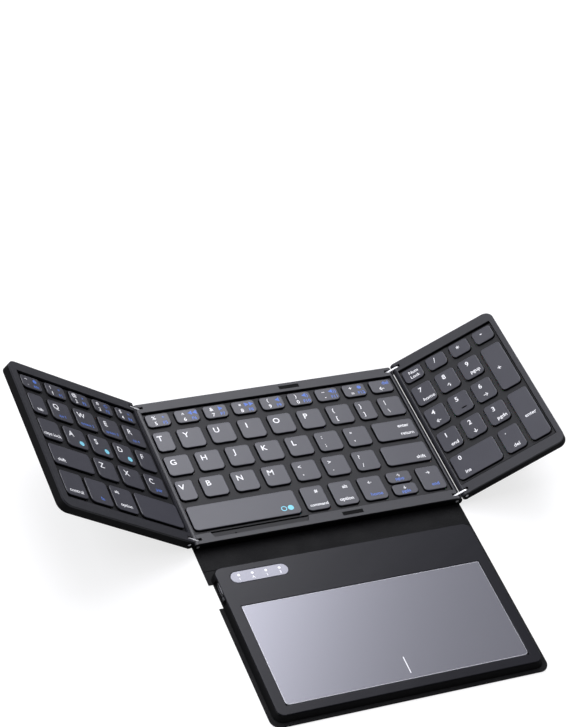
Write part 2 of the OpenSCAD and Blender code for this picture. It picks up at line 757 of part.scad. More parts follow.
centre_leather();
centre_shell();
centre_frame();
centre_key_plate();
centre_circuit();
centre_rubber_domes();
centre_screws();
closing_magnets();
left_shell();
left_frame();
left_key_plate();
left_circuit();
left_rubber_domes();
right_shell();
right_frame();
right_key_plate();
right_circuit();
right_rubber_domes();
left_hinge_bars();
left_hinge_pins();
right_hinge_bars();
right_hinge_pins();
leather_flap();
pad_leather();
pad_tray();
pad_cover_plate();
touch_glass();
touch_sensor();
control_board();
battery();
usb_port();
power_switch();
indicator_window();
left_keys(left_number);  // left_number_keys
left_keys(some(left_upper, 0, 3));  // left_upper_keys
left_keys(some(left_middle, 0, 3));  // left_middle_keys
left_keys(concat(some(left_lower, 0, 2), some(left_space, 1, 3)));  // left_lower_keys
left_keys([left_upper[4]]);  // tab_key
left_keys([left_middle[4]]);  // caps_lock_key
left_keys([left_lower[3]]);  // left_shift_key
left_keys([left_space[0]]);  // left_space_key
centre_keys(some(centre_number, 0, 7));  // centre_number_keys
centre_keys(centre_upper);  // centre_upper_keys
centre_keys(some(centre_middle, 0, 6));  // centre_middle_keys
centre_keys(concat(some(centre_lower, 0, 6), some(centre_space, 1, 2)));  // centre_lower_keys
centre_keys([centre_number[8]]);  // backspace_key
centre_keys([centre_middle[7]]);  // enter_key
centre_keys([centre_lower[7]]);  // right_shift_key
centre_keys([centre_space[0]]);  // right_space_key
centre_keys([centre_space[3]]);  // left_arrow_key
centre_keys([up_arrow]);  // up_arrow_key
centre_keys([down_arrow]);  // down_arrow_key
centre_keys([centre_space[5]]);  // right_arrow_key
right_keys(right_number);  // keypad_top_keys
right_keys(some(right_upper, 0, 2));  // keypad_upper_keys
right_keys(some(right_middle, 0, 2));  // keypad_middle_keys
right_keys(concat(some(right_lower, 0, 2), [right_last[2]]));  // keypad_lower_keys
right_keys([keypad_plus]);  // keypad_plus_key
right_keys([keypad_enter]);  // keypad_enter_key
right_keys([keypad_zero]);  // keypad_zero_key
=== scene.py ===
"""Folding keyboard with a touchpad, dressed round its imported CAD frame.

The file is laid out as a Blender add-on. Lengths are in metres, most of them written
in millimetres times MM, and every piece lies in the frame of the CAD model: X along the
key rows, Y to the back, Z up.
"""

import json
import math
from contextlib import contextmanager

import bpy
from mathutils import Matrix, Vector

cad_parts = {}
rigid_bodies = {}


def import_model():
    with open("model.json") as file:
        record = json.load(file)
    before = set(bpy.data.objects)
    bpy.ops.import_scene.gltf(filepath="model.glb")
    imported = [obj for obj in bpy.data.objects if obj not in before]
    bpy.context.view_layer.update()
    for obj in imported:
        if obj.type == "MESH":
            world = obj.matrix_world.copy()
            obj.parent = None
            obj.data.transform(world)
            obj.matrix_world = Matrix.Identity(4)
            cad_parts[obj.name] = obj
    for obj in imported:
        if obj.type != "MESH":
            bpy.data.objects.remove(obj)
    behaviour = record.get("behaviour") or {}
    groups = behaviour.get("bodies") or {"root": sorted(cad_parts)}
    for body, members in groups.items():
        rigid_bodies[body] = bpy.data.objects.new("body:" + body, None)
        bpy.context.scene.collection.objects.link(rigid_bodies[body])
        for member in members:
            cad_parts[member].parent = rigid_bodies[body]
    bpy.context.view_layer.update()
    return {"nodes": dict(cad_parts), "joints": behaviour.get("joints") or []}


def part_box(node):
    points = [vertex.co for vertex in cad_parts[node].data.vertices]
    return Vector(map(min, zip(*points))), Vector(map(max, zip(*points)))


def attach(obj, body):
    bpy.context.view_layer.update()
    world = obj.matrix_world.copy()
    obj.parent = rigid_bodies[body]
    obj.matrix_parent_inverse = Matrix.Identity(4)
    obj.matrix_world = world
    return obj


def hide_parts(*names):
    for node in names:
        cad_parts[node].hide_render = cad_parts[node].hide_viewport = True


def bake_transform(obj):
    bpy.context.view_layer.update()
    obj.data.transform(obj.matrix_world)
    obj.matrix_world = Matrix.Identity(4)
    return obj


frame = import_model()

bl_info = {
    "name": "Folding Keyboard",
    "version": (1, 0, 0),
    "blender": (4, 5, 0),
    "location": "3D View > Sidebar > Keyboard",
    "description": "Dresses the CAD frame of a folding keyboard with its finished pieces",
    "category": "Object",
}

MM = 0.001

# A camera fitted to the corners of the key caps in the photograph, with its turn in
# degrees and its lens in millimetres
CAMERA_PLACE = (-0.5007, -0.7464, 0.9299)
CAMERA_TURN = (45.2765, -11.1286, -21.6929)
CAMERA_LENS = 109.045

# A face counts as lying at a level when it is no further from it than this
LEVEL_PLAY = 0.02 * MM
# Caps fall into rows by the Y of their middles, in steps of this
ROW_DEPTH = 8 * MM
# How much the outline of a legend is thickened, as a share of its size
LEGEND_WEIGHT = 0.014


def linear(code):
    """The linear colour of an sRGB hex value."""
    parts = [int(code[i : i + 2], 16) / 255 for i in (1, 3, 5)]
    return [c / 12.92 if c <= 0.04045 else ((c + 0.055) / 1.055) ** 2.4 for c in parts] + [1.0]


def panels():
    """Each panel's turn from lying flat, read from the direction in which its keys slide."""
    turns = {}
    for joint in frame["joints"]:
        if joint["name"].endswith("_press"):
            x, _, z = joint["axis"]
            turns[joint["parent"]] = Matrix.Rotation(math.atan2(x, z), 4, "Y")
    return turns


TURN = panels()
KEYS = {j["child"]: j["parent"] for j in frame["joints"] if j["name"].endswith("_press")}


# ---- Colours and sizes ---------------------------------------------------------


def colour(name, code, description):
    """A colour that the user can change."""
    return bpy.props.FloatVectorProperty(
        name=name, description=description, default=linear(code), size=4, min=0, max=1, subtype="COLOR"
    )


def length(name, value, description):
    """A length that the user can change, given in millimetres."""
    return bpy.props.FloatProperty(
        name=name,
        description=description,
        default=value * MM,
        min=0,
        max=20 * MM,
        precision=5,
        unit="LENGTH",
    )


class KeyboardColours(bpy.types.PropertyGroup):
    caps: colour("Key caps", "#3a3a42", "Moulded plastic of the key caps")
    plate: colour("Key plates", "#141417", "Moulded plastic between the key caps")
    frames: colour("Frames", "#26262b", "Moulded plastic round the keys")
    shells: colour("Shells", "#050506", "Moulded plastic of the panels' undersides and walls")
    leather: colour("Leather", "#0b0b0d", "Coated fabric of the flap and the backs")
    cover: colour("Cover plate", "#1b1b20", "Glossy plate of the touchpad unit")
    glass: colour("Touch glass", "#75757c", "Paint behind the touch glass")
    window: colour("Indicator window", "#85858e", "Silver paint behind the indicator window")
    white_ink: colour("White ink", "#fafafc", "Legends and the click line")
    blue_ink: colour("Blue ink", "#5276cc", "Second legends of the keys")
    cyan_ink: colour("Cyan ink", "#86d8ee", "Mark on the space bar and dots of three letter keys")
    backdrop: colour("Floor", "#9a9a9a", "Floor and background")


class KeyboardSizes(bpy.types.PropertyGroup):
    cap_edge: length("Cap edge", 0.45, "Rounding of a cap's upper edge")
    shell_edge: length("Shell edge", 0.35, "Rounding of the shells' lower edges")
    frame_edge: length("Frame edge", 0.12, "Rounding of the frames' upper edges")
    tray_edge: length("Tray edge", 0.4, "Rounding of the tray's upper edge")
    plate_edge: length("Cover plate edge", 0.3, "Rounding of the cover plate's edge")
    glass_edge: length("Glass edge", 0.3, "Rounding of the touch glass's edge")
    window_edge: length("Window edge", 0.2, "Rounding of the indicator window's edge")
    leather_edge: length("Leather edge", 0.25, "Rounding of the leather's edges")
    steel_edge: length("Steel edge", 0.18, "Rounding of the hinge bars and pins")
    ink: length("Ink height", 0.012, "Height of the ink above a cap's top")
    legend_depth: length("Legend depth", 0.11, "Thickness of a legend, down into the cap")
    bar_length: length("Homing bar", 3.4, "Length of the bar on the keypad's middle key")
    seam: length("Leather seam", 2.0, "Distance from the unit's fold to the seam in the leather")


# ---- Making and shaping pieces ---------------------------------------------------


def only(piece):
    """Select one object and nothing else."""
    bpy.ops.object.select_all(action="DESELECT")
    piece.select_set(True)
    bpy.context.view_layer.objects.active = piece


@contextmanager
def editing(piece, mode="FACE"):
    """Edit mode, in which what was picked beforehand stays selected."""
    only(piece)
    bpy.context.tool_settings.mesh_select_mode = [mode == kind for kind in ("VERT", "EDGE", "FACE")]
    bpy.ops.object.mode_set(mode="EDIT")
    yield
    bpy.ops.object.mode_set(mode="OBJECT")


def pick_faces(piece, test):
    """Select the faces that pass a test, and no other part of the mesh."""
    mesh = piece.data
    for part in (*mesh.vertices, *mesh.edges):
        part.select = False
    for face in mesh.polygons:
        face.select = test(face)
        if face.select:
            for i in face.vertices:
                mesh.vertices[i].select = True


def pick_points(piece, test):
    """Select the points that pass a test, and no other part of the mesh."""
    mesh = piece.data
    for part in (*mesh.edges, *mesh.polygons):
        part.select = False
    for point in mesh.vertices:
        point.select = test(point.co)


def new_piece(name):
    """Name the object that was made last, and its mesh."""
    piece = bpy.context.object
    piece.name = piece.data.name = name
    return piece


def copy_node(node, name, turn=Matrix.Identity(4)):
    """A merged copy of a CAD node's mesh, laid flat by the inverse of turn."""
    source = frame["nodes"][node]
    piece = bpy.data.objects.new(name, source.data.copy())
    bpy.context.scene.collection.objects.link(piece)
    piece.data.materials.clear()
    piece.data.transform(turn.inverted())
    with editing(piece):
        bpy.ops.mesh.select_all(action="SELECT")
        bpy.ops.mesh.customdata_custom_splitnormals_clear()
        bpy.ops.mesh.remove_doubles(threshold=0.004 * MM)
        bpy.ops.mesh.dissolve_limited(angle_limit=math.radians(0.5))
    return piece


def pick_level(piece, up=True):
    """Select the level faces at the very top, or at the very bottom, of a piece."""
    side = 1 if up else -1
    level = max(side * v.co.z for v in piece.data.vertices) - LEVEL_PLAY
    pick_faces(piece, lambda f: side * f.normal.z > 0.999 and side * f.center.z > level)


def round_level(piece, radius, rings=3, up=True):
    """Round the edge of the highest, or lowest, level faces with a series of insets."""
    side = 1 if up else -1
    pick_level(piece, up)
    with editing(piece):
        bpy.ops.transform.translate(value=(0, 0, -side * radius))
        for i in range(rings):
            a, b = (math.pi / 2 * k / rings for k in (i, i + 1))
            bpy.ops.mesh.inset(
                thickness=radius * (math.cos(a) - math.cos(b)),
                depth=radius * (math.sin(b) - math.sin(a)),
            )


def round_edges(piece, width, segments):
    """Round the sharp edges of a small piece with an applied Bevel modifier."""
    only(piece)
    bevel = piece.modifiers.new("Round edges", "BEVEL")
    bevel.width, bevel.segments, bevel.loop_slide = width, segments, False
    bevel.limit_method, bevel.angle_limit = "ANGLE", math.radians(35)
    bpy.ops.object.modifier_apply(modifier=bevel.name)


def finish_piece(piece, finish, body, nodes=(), angle=40):
    """Shade a finished piece, give it its material and hang it on its CAD body."""
    only(piece)
    bpy.ops.object.shade_smooth_by_angle(angle=math.radians(angle))
    # A flat face keeps its own normal all over, also beside a rounded edge
    weighted = piece.modifiers.new("Flat faces", "WEIGHTED_NORMAL")
    weighted.keep_sharp = True
    bpy.ops.object.modifier_apply(modifier=weighted.name)
    if finish is not None:
        piece.data.materials.clear()
        piece.data.materials.append(finish)
    if body:
        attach(piece, body)
    if nodes:
        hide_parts(*nodes)


def join(pieces, name):
    """Join several objects into one piece."""
    only(pieces[0])
    for piece in pieces:
        piece.select_set(True)
    if len(pieces) > 1:
        bpy.ops.object.join()
    return new_piece(name)


def dress_node(node, finish):
    """Give a CAD node that stays as it is a better material."""
    piece = frame["nodes"][node]
    if not piece.material_slots:
        piece.data.materials.append(finish)
    for slot in piece.material_slots:
        slot.material = finish


# ---- Materials -------------------------------------------------------------------

FINISHES = {}


def add_node(tree, kind, settings=None, sockets=None):
    """Add a node with its settings, its socket values and the links that come into it."""
    made = tree.nodes.new(kind)
    for name, value in (settings or {}).items():
        setattr(made, name, value)
    for name, value in (sockets or {}).items():
        socket = made.inputs[name]
        if isinstance(value, bpy.types.NodeSocket):
            tree.links.new(value, socket)
        else:
            socket.default_value = value
    return made


def new_material(name):
    """Make a material that is kept in FINISHES: its empty tree and its Object coordinates."""
    made = bpy.data.materials.new(name)
    made.use_nodes = True
    tree = made.node_tree
    tree.nodes.clear()
    place = add_node(tree, "ShaderNodeTexCoord").outputs["Object"]
    FINISHES[name] = made
    return tree, place


def surface(tree, sockets):
    """Add the Principled shader of a material, and link it to its output."""
    shader = add_node(tree, "ShaderNodeBsdfPrincipled", sockets=sockets)
    add_node(tree, "ShaderNodeOutputMaterial", sockets={"Surface": shader.outputs["BSDF"]})


def mottle(tree, place, base, size, amount, detail=3.0):
    """Two tones of one colour, in soft patches of about size metres."""
    patches = add_node(
        tree,
        "ShaderNodeTexNoise",
        sockets={"Vector": place, "Scale": 1 / size, "Detail": detail, "Roughness": 0.55},
    )
    tones = add_node(tree, "ShaderNodeValToRGB", sockets={"Fac": patches.outputs["Fac"]})
    for stop, factor in zip(tones.color_ramp.elements, (1 - amount, 1 + amount)):
        stop.color = [min(1, c * factor) for c in base[:3]] + [1]
    tones.color_ramp.elements[0].position = 0.3
    tones.color_ramp.elements[1].position = 0.7
    tones.color_ramp.interpolation = "EASE"
    return tones.outputs["Color"], patches.outputs["Fac"]


def spread(tree, value, low, high):
    """A roughness that follows a pattern between two values."""
    ranged = add_node(
        tree,
        "ShaderNodeMapRange",
        {"interpolation_type": "SMOOTHERSTEP"},
        {"Value": value, "From Min": 0.2, "From Max": 0.8, "To Min": low, "To Max": high},
    )
    return ranged.outputs["Result"]


def moulded_plastic(name, base, grit, depth, rough, specular):
    """ABS moulded in a spark-eroded tool: a fine, even grit that breaks up the light."""
    tree, place = new_material(name)
    tone, patches = mottle(tree, place, base, 12 * MM, 0.02)
    grains = add_node(
        tree,
        "ShaderNodeTexNoise",
        sockets={"Vector": place, "Scale": 1 / grit, "Detail": 2.0, "Roughness": 0.6},
    )
    bump = add_node(
        tree, "ShaderNodeBump", sockets={"Height": grains.outputs["Fac"], "Strength": 0.6, "Distance": depth}
    )
    surface(
        tree,
        {
            "Base Color": tone,
            "Roughness": spread(tree, patches, rough - 0.01, rough + 0.01),
            "IOR": 1.53,
            "Specular IOR Level": specular,
            "Normal": bump.outputs["Normal"],
        },
    )


def coated_leather(name, base):
    """Polyurethane-coated fabric, embossed with a pebbled hide grain of about 1 mm."""
    tree, place = new_material(name)
    pebbles_per_metre, bends_per_metre, bent_share = 900.0, 700.0, 0.0006
    # How wide the valleys between the pebbles are, and how dark their painted shade is
    valley_width, valley_shade = 0.28, 0.45
    warp = add_node(
        tree, "ShaderNodeTexNoise", sockets={"Vector": place, "Scale": bends_per_metre, "Detail": 2.0}
    )
    # A Mix node has several sockets of one name, so its sockets go by number here
    bent = add_node(
        tree, "ShaderNodeMix", {"data_type": "VECTOR"}, {0: bent_share, 4: place, 5: warp.outputs["Color"]}
    )
    pebbles = add_node(
        tree,
        "ShaderNodeTexVoronoi",
        {"feature": "DISTANCE_TO_EDGE"},
        {"Vector": bent.outputs[1], "Scale": pebbles_per_metre},
    )
    valleys = add_node(
        tree,
        "ShaderNodeMapRange",
        {"interpolation_type": "SMOOTHSTEP"},
        {"Value": pebbles.outputs["Distance"], "From Min": 0.0, "From Max": valley_width},
    )
    tone, patches = mottle(tree, place, base, 20 * MM, 0.18)
    # The valleys between the pebbles are painted darker: painted shade in the grain
    dark = [c * valley_shade for c in base[:3]] + [1]
    shaded_valleys = add_node(
        tree, "ShaderNodeMix", {"data_type": "RGBA"}, {0: valleys.outputs["Result"], 6: dark, 7: tone}
    )
    bump = add_node(
        tree,
        "ShaderNodeBump",
        sockets={"Height": valleys.outputs["Result"], "Strength": 0.5, "Distance": 0.12 * MM},
    )
    surface(
        tree,
        {
            "Base Color": shaded_valleys.outputs[2],
            "Roughness": spread(tree, patches, 0.55, 0.68),
            "Specular IOR Level": 0.14,
            "Normal": bump.outputs["Normal"],
        },
    )


def glossy_plate(name, base):
    """Hard-coated polycarbonate, polished: a clear gloss with faint wipe marks."""
    tree, place = new_material(name)
    tone, _ = mottle(tree, place, base, 30 * MM, 0.05)
    wipes = add_node(
        tree,
        "ShaderNodeMapping",
        {"vector_type": "TEXTURE"},
        {"Vector": place, "Rotation": (0, 0, 0.5), "Scale": (0.09, 0.006, 0.006)},
    )
    streaks = add_node(
        tree,
        "ShaderNodeTexNoise",
        sockets={"Vector": wipes.outputs["Vector"], "Scale": 1.0, "Detail": 4.0},
    )
    surface(
        tree,
        {
            "Base Color": tone,
            "Roughness": spread(tree, streaks.outputs["Fac"], 0.15, 0.18),
            "IOR": 1.58,
            "Specular IOR Level": 0.13,
        },
    )


def etched_glass(name, base):
    """Chemically etched glass over grey paint: satin, with a soft sheen."""
    tree, place = new_material(name)
    pits = 0.4 * MM
    tone, patches = mottle(tree, place, base, pits, 0.01, 1.0)
    etch = add_node(
        tree, "ShaderNodeTexNoise", sockets={"Vector": place, "Scale": 1 / pits, "Detail": 1.0}
    )
    bump = add_node(
        tree,
        "ShaderNodeBump",
        sockets={"Height": etch.outputs["Fac"], "Strength": 0.05, "Distance": 0.02 * MM},
    )
    surface(
        tree,
        {
            "Base Color": tone,
            "Metallic": 0.6,
            "Roughness": spread(tree, patches, 0.14, 0.16),
            "IOR": 1.52,
            "Normal": bump.outputs["Normal"],
        },
    )


def painted_window(name, base):
    """Clear acrylic with silver paint behind it: a fine metal flake under gloss."""
    tree, place = new_material(name)
    flake = 0.25 * MM
    flakes = add_node(tree, "ShaderNodeTexVoronoi", sockets={"Vector": place, "Scale": 1 / flake})
    tone, _ = mottle(tree, flakes.outputs["Color"], base, 1.0, 0.1, 0.0)
    surface(
        tree,
        {
            "Base Color": tone,
            "Metallic": 0.4,
            "Roughness": 0.35,
            "IOR": 1.49,
            "Coat Weight": 0.2,
            "Coat Roughness": 0.15,
        },
    )


def drawn_steel(name, base, grain, rough, metallic=1.0):
    """Drawn and polished steel: fine drawing lines that stretch the highlights."""
    tree, place = new_material(name)
    stretch = 12
    lines = add_node(
        tree,
        "ShaderNodeMapping",
        {"vector_type": "TEXTURE"},
        {"Vector": place, "Scale": (grain * stretch, grain, grain)},
    )
    scratches = add_node(
        tree,
        "ShaderNodeTexNoise",
        sockets={"Vector": lines.outputs["Vector"], "Scale": 1.0, "Detail": 3.0},
    )
    bump = add_node(
        tree,
        "ShaderNodeBump",
        sockets={"Height": scratches.outputs["Fac"], "Strength": 0.2, "Distance": 0.03 * MM},
    )
    tone, _ = mottle(tree, place, base, 4 * MM, 0.03)
    surface(
        tree,
        {
            "Base Color": tone,
            "Metallic": metallic,
            "Roughness": spread(tree, scratches.outputs["Fac"], rough - 0.06, rough + 0.08),
            "Normal": bump.outputs["Normal"],
        },
    )


def printed_ink(name, base):
    """Pad-printed ink: a dense, slightly uneven film."""
    tree, place = new_material(name)
    tone, patches = mottle(tree, place, base, 0.6 * MM, 0.04)
    surface(tree, {"Base Color": tone, "Roughness": spread(tree, patches, 0.45, 0.6), "IOR": 1.48})


def printed_circuit(name, base, track):
    """Laminate with copper tracks under lacquer: straight lines that break and turn."""
    tree, place = new_material(name)
    bricks = add_node(
        tree,
        "ShaderNodeTexBrick",
        {"offset": 0.37},
        {
            "Vector": place,
            "Scale": 1.0,
            "Color1": base,
            "Color2": [c * 0.8 for c in base[:3]] + [1],
            "Mortar": [min(1, c * 2.2 + 0.05) for c in base[:3]] + [1],
            "Mortar Size": track * 0.16,
            "Brick Width": track * 9,
            "Row Height": track * 1.6,
        },
    )
    bump = add_node(
        tree,
        "ShaderNodeBump",
        sockets={"Height": bricks.outputs["Fac"], "Strength": 0.3, "Distance": 0.04 * MM},
    )
    surface(
        tree,
        {
            "Base Color": bricks.outputs["Color"],
            "Roughness": 0.4,
            "IOR": 1.5,
            "Normal": bump.outputs["Normal"],
        },
    )


def moulded_rubber(name, base):
    """Translucent silicone rubber: dull, with light passing just under the skin."""
    tree, place = new_material(name)
    tone, patches = mottle(tree, place, base, 5 * MM, 0.05)
    surface(
        tree,
        {
            "Base Color": tone,
            "Roughness": spread(tree, patches, 0.55, 0.7),
            "IOR": 1.41,
            "Subsurface Weight": 0.2,
            "Subsurface Scale": 1 * MM,
        },
    )


def foil_pouch(name, base):
    """Aluminium-laminate pouch of a lithium cell: soft metal with shallow dents."""
    tree, place = new_material(name)
    dents_per_metre = 120.0
    dents = add_node(
        tree, "ShaderNodeTexNoise", sockets={"Vector": place, "Scale": dents_per_metre, "Detail": 2.0}
    )
    bump = add_node(
        tree,
        "ShaderNodeBump",
        sockets={"Height": dents.outputs["Fac"], "Strength": 0.4, "Distance": 0.3 * MM},
    )
    tone, patches = mottle(tree, place, base, 10 * MM, 0.05)
    surface(
        tree,
        {
            "Base Color": tone,
            "Metallic": 0.9,
            "Roughness": spread(tree, patches, 0.35, 0.5),
            "Normal": bump.outputs["Normal"],
        },
    )


def make_finishes(colours):
    """All finishes of the keyboard, named for what they are made of and how; some of them hold painted
    shade, highlight or reflection, as the comments beside them say.

    Grit and drawing lines are drawn coarser than the real ones, which are too fine to show.
    """
    moulded_plastic("moulded_ABS_caps", colours.caps, 0.35 * MM, 0.02 * MM, 0.3, 0.44)
    moulded_plastic("moulded_ABS_frames", colours.frames, 0.5 * MM, 0.03 * MM, 0.4, 0.37)
    moulded_plastic("moulded_ABS_key_plates", colours.plate, 0.5 * MM, 0.04 * MM, 0.55, 0.3)
    moulded_plastic("moulded_ABS_shells", colours.shells, 0.6 * MM, 0.06 * MM, 0.6, 0.15)
    # Rubber paint is dull, with the same fine grit
    moulded_plastic("black_rubber_paint", linear("#060607"), 0.4 * MM, 0.02 * MM, 0.7, 0.1)
    # The caps' steep sides: the cap plastic painted near black, as painted shade
    moulded_plastic("cap_sides_painted_shade", linear("#09090a"), 0.5 * MM, 0.02 * MM, 0.6, 0.2)
    coated_leather("embossed_PU_leather", colours.leather)
    glossy_plate("polished_polycarbonate", colours.cover)
    etched_glass("etched_touch_glass", colours.glass)
    # The glass's ground rim gets a pale, ink-like finish: partly the pale ground edge, partly a painted
    # highlight along it
    printed_ink("glass_rim_painted_highlight", linear("#d9d9df"))
    painted_window("silvered_acrylic", colours.window)
    # Half metallic with a near-white base: the white non-metallic half is a painted reflection, so that the
    # bars look white, as polished bars do under soft light
    drawn_steel("stainless_steel_painted_reflection", linear("#fbfbfc"), 0.12 * MM, 0.4, 0.5)
    drawn_steel("plated_port_steel", linear("#b9b9bd"), 0.2 * MM, 0.3)
    drawn_steel("black_oxide_steel", linear("#0c0c0d"), 0.3 * MM, 0.5)
    printed_ink("white_pad_ink", colours.white_ink)
    printed_ink("blue_pad_ink", colours.blue_ink)
    printed_ink("cyan_pad_ink", colours.cyan_ink)
    printed_circuit("polyester_key_circuit", linear("#2f5c46"), 1.0 * MM)
    printed_circuit("laminate_control_board", linear("#134a30"), 0.8 * MM)
    printed_circuit("laminate_touch_sensor", linear("#16402c"), 2.0 * MM)
    moulded_rubber("silicone_rubber_domes", linear("#c9c9c4"))
    foil_pouch("aluminium_cell_pouch", linear("#a8a8ac"))


# ---- Legends -----------------------------------------------------------------------

# Where a legend's middle lies on a cap, as (share of the width, share of the depth), its
# size in millimetres and its ink
PLACES = {
    "L": (0.32, 0.33, 5.5, "white"),
    "u": (0.27, 0.29, 3.9, "white"),
    "d": (0.29, 0.72, 3.9, "white"),
    "a": (0.26, 0.30, 3.7, "white"),
    "b": (0.28, 0.74, 3.7, "white"),
    "i": (0.70, 0.32, 3.4, "blue"),
    "f": (0.70, 0.75, 3.2, "blue"),
    "A": (0.35, 0.30, 3.7, "white"),
    "B": (0.36, 0.74, 3.7, "white"),
    "I": (0.75, 0.31, 3.3, "blue"),
    "F": (0.76, 0.74, 3.2, "blue"),
    "w": (0.50, 0.77, 3.4, "white"),
    "C": (0.54, 0.78, 2.9, "white"),
    "s": (0.21, 0.74, 3.5, "white"),
    "h": (0.78, 0.75, 3.4, "white"),
    "H": (0.745, 0.74, 3.4, "white"),
    "t": (0.73, 0.33, 3.4, "white"),
    "n": (0.27, 0.24, 3.4, "white"),
    "m": (0.66, 0.24, 3.4, "white"),
    "y": (0.48, 0.78, 2.8, "blue"),
    "e": (0.55, 0.76, 3.4, "blue"),
    "x": (0.71, 0.72, 4.4, "cyan"),
    "k": (0.42, 0.26, 4.6, "white"),
    "o": (0.33, 0.22, 4.6, "white"),
    "D": (0.55, 0.79, 3.4, "white"),
    "q": (0.62, 0.77, 3.4, "white"),
    "r": (0.48, 0.74, 4.0, "white"),
    "g": (0.47, 0.26, 3.4, "white"),
    "c": (0.43, 0.38, 4.9, "white"),
    "1": (0.56, 0.34, 3.1, "white"),
    "2": (0.56, 0.69, 3.1, "white"),
    "P": (0.41, 0.52, 4.6, "white"),
    "E": (0.56, 0.52, 3.4, "white"),
    "Z": (0.21, 0.17, 4.2, "white"),
    "z": (0.24, 0.77, 3.4, "white"),
    "v": (0.50, 0.36, 3.0, "white"),
    "j": (0.50, 0.72, 3.0, "blue"),
    "G": (0.72, 0.26, 3.8, "blue"),
    "W": (0.46, 0.70, 4.4, "white"),
    "O": (0.88, 0.72, 4.6, "cyan"),
}

# The legends of each key node, cap by cap from the back left: a place, then its text.
# Words are the plain ones of any keyboard, and an underscore stands for a space
LEGENDS = {
    "left_number_keys": ["a~ b` i● fesc", "a! b1 i* fF1", "a@ b2 i+ fF2", "a# b3 i○ fF3", "a$ b4 i= fF4"],
    "left_upper_keys": ["LQ ysys_1", "LW ysystem_2", "LE ysystem_3", "LR ysys_4"],
    "left_middle_keys": ["LA x●", "LS x●", "LD x●", "LF"],
    "left_lower_keys": ["LZ", "LX", "LC epair", "wcontrol", "efn", "nalt woption"],
    "tab_key": ["wtab"],
    "caps_lock_key": ["wcaps_lock"],
    "left_shift_key": ["sshift"],
    "centre_number_keys": [
        "A% B5 I* FF5", "A^ B6 I◀◀ FF6", "A& B7 I▶ FF7", "A* B8 I▶▶ FF8",
        "A( B9 I◀ FF9", "A) B0 I◀) FF10", "A_ B- I◀)) FF11", "A+ B= I● FF12",
    ],
    "centre_upper_keys": ["LT", "LY", "LU", "LI", "LO", "LP", "u{ d[", "u} d]", "u| d\\"],
    "centre_middle_keys": ["LG", "LH", "LJ", "LK", "LL", "u: d;", "u\" d'"],
    "centre_lower_keys": ["LV", "LB", "LN", "LM", "u< d,", "u> d.", "u? d/", "m# Ccommand", "malt woption"],
    "backspace_key": ["Gdel W←"],
    "enter_key": ["tenter Hreturn"],
    "right_shift_key": ["hshift"],
    "right_space_key": ["O○●"],
    "left_arrow_key": ["g← ehome"],
    "up_arrow_key": ["v↑ jpgup"],
    "down_arrow_key": ["v↓ jpgdn"],
    "right_arrow_key": ["g→ eend"],
    "keypad_top_keys": ["1Num 2Lock", "c/", "c*", "c-"],
    "keypad_upper_keys": ["k7 qhome", "k8 r↑", "k9 qpgup"],
    "keypad_middle_keys": ["k4 r←", "k5", "k6 r→"],
    "keypad_lower_keys": ["k1 qend", "k2 r↓", "k3 qpgdn", "o. Ddel"],
    "keypad_plus_key": ["P+"],
    "keypad_enter_key": ["Eenter"],
    "keypad_zero_key": ["Z0 zins"],
}


def written(text, size, depth):
    """A line of text as a closed mesh, its middle at the origin and its face at the top."""
    bpy.ops.object.text_add()
    line = bpy.context.object
    line.data.body = text.replace("_", " ") if len(text) > 1 else text
    line.data.size = size
    line.data.resolution_u = 3
    line.data.offset = LEGEND_WEIGHT * size
    line.data.extrude = depth / 2
    line.data.align_x, line.data.align_y = "CENTER", "CENTER"
    bpy.ops.object.convert(target="MESH")
    piece = bpy.context.object
    xs = [v.co.x for v in piece.data.vertices]
    ys = [v.co.y for v in piece.data.vertices]
    x, y = (min(xs) + max(xs)) / 2, (min(ys) + max(ys)) / 2
    piece.data.transform(Matrix.Translation((-x, -y, -depth / 2)))
    return piece


def cap_tops(piece):
    """The flat top of every cap of a piece laid flat: (x0, y0, x1, y1, z), from the back left."""
    mesh = piece.data
    level = max(v.co.z for v in mesh.vertices) - LEVEL_PLAY
    tops = []
    for face in mesh.polygons:
        if face.normal.z > 0.99 and face.center.z > level:
            points = [mesh.vertices[i].co for i in face.vertices]
            xs, ys = [p.x for p in points], [p.y for p in points]
            tops.append((min(xs), min(ys), max(xs), max(ys), face.center.z))
    return sorted(tops, key=lambda t: (-round((t[1] + t[3]) / 2 / ROW_DEPTH), t[0]))


# ---- Operators: one for each group of like pieces ------------------------------------


class KEYBOARD_OT_finishes(bpy.types.Operator):
    """Make the finishes of all the pieces"""

    bl_idname = "keyboard.finishes"
    bl_label = "Finishes"

    def execute(self, context):
        make_finishes(context.scene.keyboard_colours)
        return {"FINISHED"}


class KEYBOARD_OT_camera(bpy.types.Operator):
    """Set up the camera at the photograph's viewing angle"""

    bl_idname = "keyboard.camera"
    bl_label = "Camera"

    def execute(self, context):
        bpy.ops.object.camera_add(location=CAMERA_PLACE, rotation=[math.radians(a) for a in CAMERA_TURN])
        camera = context.object
        camera.data.lens = CAMERA_LENS
        camera.data.clip_start, camera.data.clip_end = 0.01, 50
        context.scene.camera = camera
        return {"FINISHED"}


class KEYBOARD_OT_key_caps(bpy.types.Operator):
    """Shape the key caps, with rounded upper edges"""

    bl_idname = "keyboard.key_caps"
    bl_label = "Key caps"

    def execute(self, context):
        sizes = context.scene.keyboard_sizes
        for node, panel in KEYS.items():
            piece = copy_node(node, node.replace("_key", "_cap"), TURN[panel])
            round_level(piece, sizes.cap_edge)
            piece.data.transform(TURN[panel])
            finish_piece(piece, FINISHES["moulded_ABS_caps"], node, [node])
            piece.data.materials.append(FINISHES["cap_sides_painted_shade"])
            up = TURN[panel].to_3x3() @ Vector((0, 0, 1))
            # A cap's steep sides get a near-black finish, much darker than its top and its rounded edge:
            # painted shade on the sides of one plastic
            for face in piece.data.polygons:
                face.material_index = int(face.normal.dot(up) < 0.5)
        return {"FINISHED"}


